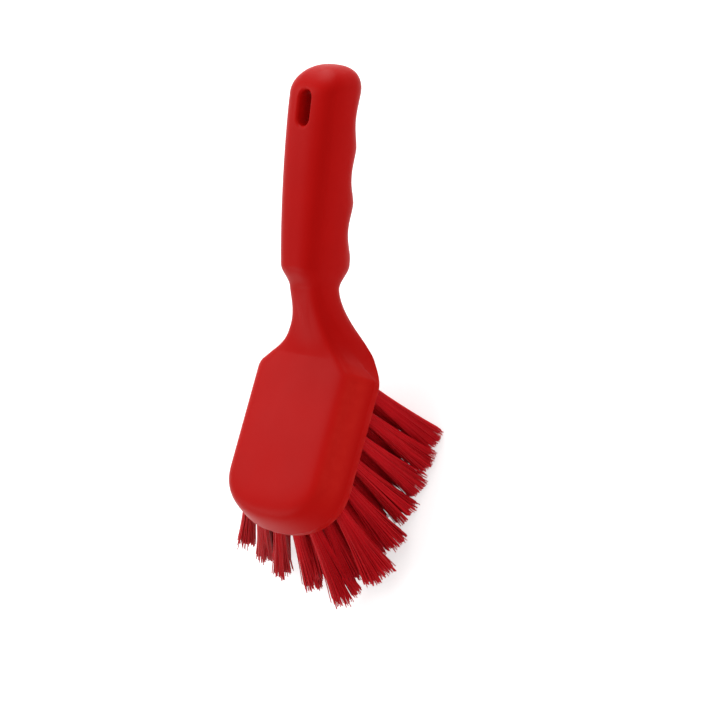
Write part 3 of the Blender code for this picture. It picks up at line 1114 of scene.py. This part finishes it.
@dataclass
class Tufts:
    """The stapled bristle tufts: their holes in the stock, and the rows that grow out of them."""

    stock: Stock
    filaments: Filaments = Filaments()
    rows: int = 7
    columns: int = 6
    toe_row_columns: int = 4
    first_row: float = 0.0090
    side_margin: float = 0.01025
    hole_clearance: float = 0.0002
    hole_points: int = 32
    lead_in: Pair = (0.0005, 0.0003)
    cutter_reach: float = 0.0040
    raggedness: Pair = (0.0003, 0.0042)
    clumping: Pair = (0.0014, 0.0032)
    lean: Pair = (math.radians(18), math.radians(43))
    lean_power: float = 1.2
    side_splay: float = math.radians(18.5)
    toe_splay: tuple[float, Pair] = (math.radians(5), (0.5, 1.0))
    loose_splay: tuple[float, Pair] = (math.radians(15), (0.45, 0.9))
    turn_step: float = 7.13
    seed: int = 11
    row_seed_step: int = 100

    def toe_share(self, row: int) -> float:
        """How near a row is to the toe, from 0 at the heel to 1 at the toe."""
        return 1 - row / (self.rows - 1)

    def tufts(self, row: int) -> list[Tuft]:
        """The tufts of one row.

        Args:
            row: the row's number from the toe.

        Returns:
            Its tufts from the middle outwards, each one's direction a unit vector down it.
        """
        stock = self.stock
        row_pitch = (stock.shoulder_start - self.first_row) / (self.rows - 1)
        column_pitch = (stock.head_width - 2 * self.side_margin) / (self.columns - 1)
        heel, toe = self.lean
        toe_share = self.toe_share(row)
        lean = heel + (toe - heel) * toe_share**self.lean_power
        made = []
        for column in range((self.columns if row else self.toe_row_columns) // 2):
            for side in Side:
                tilt, spread = lean, 1.0
                wider, span = self.loose_splay if side is Side.LEFT else self.toe_splay
                splay = self.side_splay * (2 * column + 1) / (self.columns - 1)
                splay += wider * float(blend(*span, toe_share))
                if (row, column, side) in COMBED:
                    tilt, splay, spread = COMBED[row, column, side]
                    tilt, splay = math.radians(tilt), math.radians(splay)
                down = Vector((-math.tan(tilt), side.value * math.tan(splay), -1.0)).normalized()
                x = stock.toe_x + self.first_row + row * row_pitch
                root = Vector((x, side.value * (column + 0.5) * column_pitch, stock.face_z))
                made.append(Tuft(row, column, side, root, down, spread))
        return made

    def hole_cutter(self) -> Object:
        """One cutter that holds every blind tuft hole, with a lead-in at each mouth.

        Returns:
            The cutter's object.
        """
        radius = self.filaments.root_radius + self.hole_clearance
        depth, flare = self.lead_in
        profile = (
            (-self.filaments.root_depth, radius),
            (-depth, radius),
            (0.0, radius + flare),
            (self.cutter_reach, radius + flare),
        )
        angles = circle(self.hole_points)
        cutter = bmesh.new()
        for tuft in (tuft for row in range(self.rows) for tuft in self.tufts(row)):
            turn = tuft.down.to_track_quat("Z", "X").to_matrix()
            rings = []
            for height, size in profile:
                ring = [Vector((size * math.cos(a), size * math.sin(a), height)) for a in angles]
                rings.append([tuft.root + turn @ point for point in ring])
            skin(cutter, rings)
        return surface_object("hole_cutter", cutter)

    def build_row(self, row: int, finish: Material) -> tuple[Object, list[str]]:
        """Grow one row of tufts.

        Args:
            row: the row's number from the toe.
            finish: the filaments' material.

        Returns:
            The finished piece, and the names of the frame's nodes that it stands for.
        """
        tufts = self.tufts(row)
        mesh = bpy.data.meshes.new("tuft_points")
        mesh.from_pydata([tuft.root for tuft in tufts], [], [])
        down = mesh.attributes.new("down", "FLOAT_VECTOR", "POINT")
        down.data.foreach_set("vector", [value for tuft in tufts for value in tuft.down])
        first = self.columns * row
        numbers = [first + 2 * tuft.column + (tuft.side is Side.LEFT) for tuft in tufts]
        store_values(mesh, "turn", [self.turn_step * number for number in numbers])
        store_values(mesh, "spread", [tuft.spread for tuft in tufts])
        piece = new_object(f"bristle_row_{row + 1}", mesh)
        modifier = piece.modifiers.new("grow", "NODES")
        modifier.node_group = self.filaments.tree()
        settings = {"Seed": self.seed + self.row_seed_step * row, "Finish": finish}
        settings |= {"Filaments": self.filaments.count} | self.filaments.sizes()
        for name, (heel, toe) in {"Raggedness": self.raggedness, "Clumping": self.clumping}.items():
            settings[name] = heel + (toe - heel) * self.toe_share(row)
        for item in modifier.node_group.interface.items_tree:
            if item.in_out == "INPUT" and item.name in settings:
                modifier[item.identifier] = settings[item.name]
        settle(piece)
        for name in ("strand_root", "strand_aim", "strand_reach", "down", "turn", "spread"):
            found = piece.data.attributes.get(name)
            if found:
                piece.data.attributes.remove(found)
        return piece, [tuft.node for tuft in tufts]


# The picture


@dataclass(frozen=True)
class SoftBox:
    """A soft rectangular studio light."""

    name: str
    place: Triple
    size: Pair
    power: float
    glossy: bool = True

    def build(self, target: Vector) -> None:
        """Add the light, turned to the object.

        Args:
            target: the point that it faces.
        """
        data = bpy.data.lights.new(self.name, "AREA")
        data.shape = "RECTANGLE"
        data.size, data.size_y = self.size
        data.energy = self.power
        light = new_object(self.name, data)
        light.visible_glossy = self.glossy
        light.location = target + Vector(self.place)
        light.rotation_euler = (-Vector(self.place)).to_track_quat("-Z", "Y").to_euler()


@dataclass(frozen=True)
class Studio:
    """Pale floor, white surroundings, soft boxes, and a camera at the picture's viewing angle."""

    toward_camera: Triple = (-0.07348, -0.72538, 0.68441)
    up: Triple = (0.96155, 0.13057, 0.24162)
    distance: float = 2.6324
    lens: float = 226.26
    sensor: float = 36.0
    shift: Pair = (0.07334, 0.11782)
    clip_end: float = 50.0
    floor_reach: float = 6.0
    floor_height: float = -0.0004
    floor_colour: Colour = (0.80, 0.80, 0.80, 1.0)
    floor_roughness: float = 0.9
    floor_specular: float = 0.1
    floor_glow: float = 0.60
    ambient: float = 0.52
    flag_distance: float = 2.9
    flag_reach: float = 2.6
    flag_colour: Colour = (0.02, 0.02, 0.02, 1.0)
    boxes: tuple[SoftBox, ...] = (
        SoftBox("key_box", (1.05, 0.40, 0.42), (0.70, 0.70), 7.2),
        SoftBox("top_box", (0.22, 0.80, 0.82), (0.44, 0.46), 2.6),
        SoftBox("neck_box", (-0.58, 0.64, 0.56), (0.60, 0.50), 2.4),
        SoftBox("front_box", (-0.20, -1.25, 0.40), (0.70, 0.70), 3.7, glossy=False),
    )

    def seen_share(self, graph: Graph) -> Wire:
        """1 for rays that look at the surroundings, 0 for those that only gather light."""
        path = graph.outs("ShaderNodeLightPath")
        seen = path["Is Camera Ray"].math("MAXIMUM", path["Is Glossy Ray"])
        return seen.math("MAXIMUM", path["Is Transmission Ray"])

    def world(self) -> None:
        """Surround the scene: white where it is looked at, an even studio where it lights."""
        world = bpy.data.worlds.new("studio")
        bpy.context.scene.world = world
        world.use_nodes = True
        graph = Graph(world.node_tree)
        strength = self.seen_share(graph) * (1.0 - self.ambient) + self.ambient
        background = world.node_tree.nodes["Background"]
        graph.feed(background, {"Color": WHITE, "Strength": strength})

    def floor(self) -> None:
        """Lay a wide pale floor under the tips, white to the eye but for the shadow."""
        floor = card("floor", self.floor_reach, self.floor_height)
        material, graph, shader = new_material("pale_floor")
        glow = self.seen_share(graph) * self.floor_glow
        finish = {"Base Color": self.floor_colour, "Roughness": self.floor_roughness}
        finish |= {"Specular IOR Level": self.floor_specular, "Emission Color": WHITE}
        graph.feed(shader, finish | {"Emission Strength": glow})
        floor.data.materials.append(material)

    def flag(self, target: Vector) -> None:
        """Stand a dark card behind the camera, which only reflections show.

        Args:
            target: the point that it faces.
        """
        flag = card("flag", self.flag_reach, 0.0)
        back = Vector(self.toward_camera).normalized()
        flag.location = target + back * self.flag_distance
        flag.rotation_euler = back.to_track_quat("Z", "Y").to_euler()
        material, graph, shader = new_material("black_card")
        graph.feed(shader, {"Base Color": self.flag_colour, "Roughness": 1.0})
        flag.data.materials.append(material)
        for ray in ("camera", "diffuse", "shadow", "transmission"):
            setattr(flag, "visible_" + ray, False)

    def camera(self, target: Vector) -> None:
        """Stand the camera.

        Args:
            target: the middle of the head's tuft face, which the picture's frame is set on.
        """
        back = Vector(self.toward_camera).normalized()
        up = Vector(self.up)
        up = (up - up.dot(back) * back).normalized()
        right = up.cross(back)
        data = bpy.data.cameras.new("camera")
        data.lens = self.lens
        data.sensor_width = self.sensor
        data.shift_x, data.shift_y = self.shift
        data.clip_end = self.clip_end
        camera = new_object("camera", data)
        turn = Matrix((right, up, back)).transposed().to_4x4()
        camera.matrix_world = Matrix.Translation(target + back * self.distance) @ turn
        bpy.context.scene.camera = camera

    def build(self, target: Vector) -> None:
        """Set the whole stage.

        Args:
            target: the middle of the head's tuft face.
        """
        bpy.context.scene.view_settings.view_transform = "Standard"
        self.world()
        self.floor()
        self.flag(target)
        for box in self.boxes:
            box.build(target)
        self.camera(target)


def register(piece: Object, nodes: Iterable[str]) -> None:
    """Tie a finished piece to the frame, and report it.

    Args:
        piece: the piece.
        nodes: the frame's nodes that it stands for.
    """
    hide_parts(*nodes)
    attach(piece, BODY)
    LOG.info("%s: %d faces", piece.name, len(piece.data.polygons))


def main() -> None:
    """Build the brush and its picture."""
    logging.basicConfig(level=logging.INFO, format="%(name)s: %(message)s")
    low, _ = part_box("stock")
    stock = Stock(toe_x=low[0], face_z=low[2])
    tufts = Tufts(stock)
    filament = CrimsonFilament().build()
    piece = stock.build(tufts.hole_cutter(), MouldedRed().build())
    register(piece, ["stock"])
    for row in range(tufts.rows):
        piece, nodes = tufts.build_row(row, filament)
        register(piece, nodes)
    Studio().build(Vector((stock.toe_x + stock.face_middle, 0.0, stock.face_z)))


if __name__ == "__main__":
    main()
